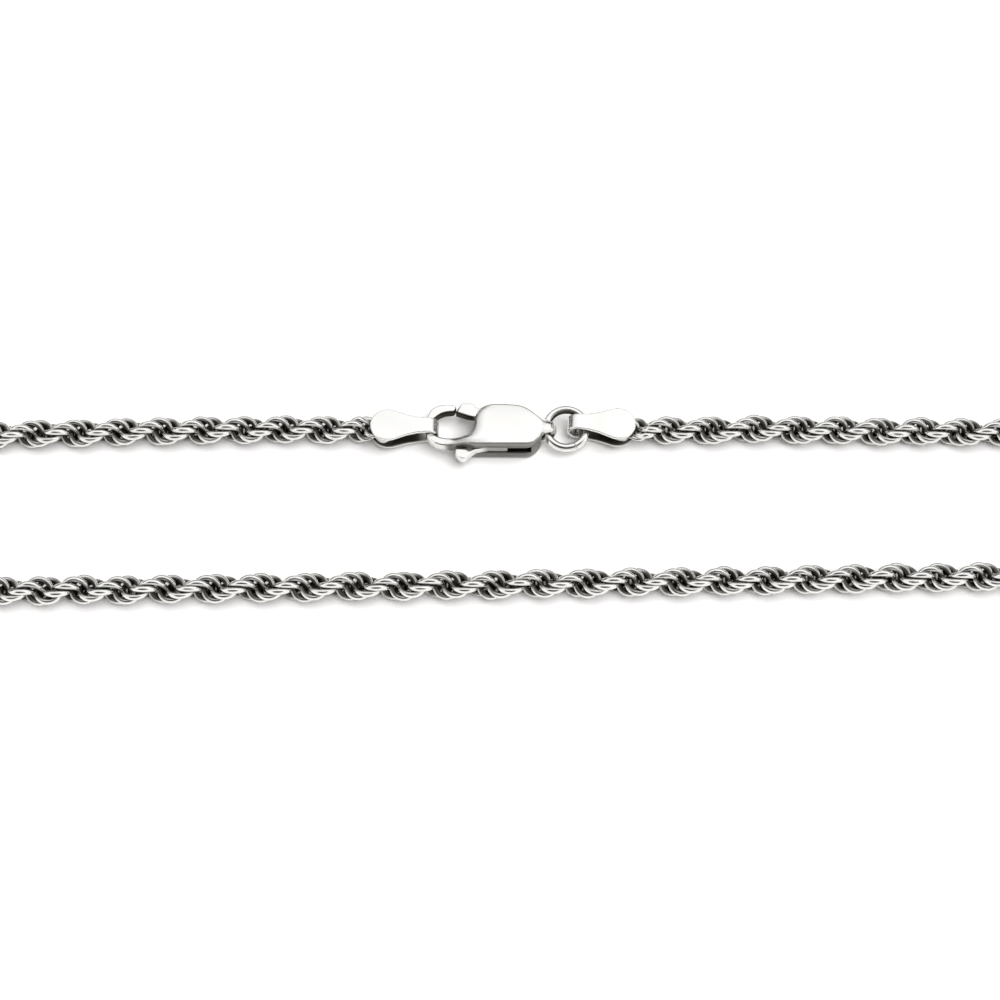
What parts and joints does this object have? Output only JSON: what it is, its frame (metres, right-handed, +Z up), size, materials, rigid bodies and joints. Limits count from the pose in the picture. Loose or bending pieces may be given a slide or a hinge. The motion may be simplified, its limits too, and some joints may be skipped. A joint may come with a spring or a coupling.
{
  "type": "rope chain necklace",
  "caption": "Twisted rope chain necklace in a closed loop, with folded end tags, a jump ring and a sprung lobster clasp, lying flat.",
  "frame": {"origin": "middle of the loop's footprint, on the surface that it lies on", "axes": "+X along the two near-parallel stretches, +Y from the plain stretch to the one with the clasp, +Z up from the surface"},
  "size_m": [0.2474, 0.0218, 0.0029],
  "materials": {
    "chain_silver": "polished silver, darkened in its recesses",
    "tag_silver": "polished silver sheet",
    "ring_silver": "polished silver wire",
    "clasp_silver": "polished cast silver",
    "lever_silver": "polished cast silver",
    "pin_steel": "plain steel pin"
  },
  "bodies": {
    "necklace": {"chain": "chain_silver", "end_tag_left": "tag_silver", "end_tag_right": "tag_silver", "jump_ring": "ring_silver", "clasp_body": "clasp_silver", "lever_pin": "pin_steel"},
    "lever": {"clasp_lever": "lever_silver"}
  },
  "joints": [
    {"name": "lever_pivot", "type": "hinge", "parent": "necklace", "child": "lever", "pos_m": [-0.001, 0.00952, 0.00145], "axis": [0, 0, 1], "range_deg": [0, 30], "stiffness_Nm_per_rad": 0.004, "springref_deg": -11.46}
  ]
}
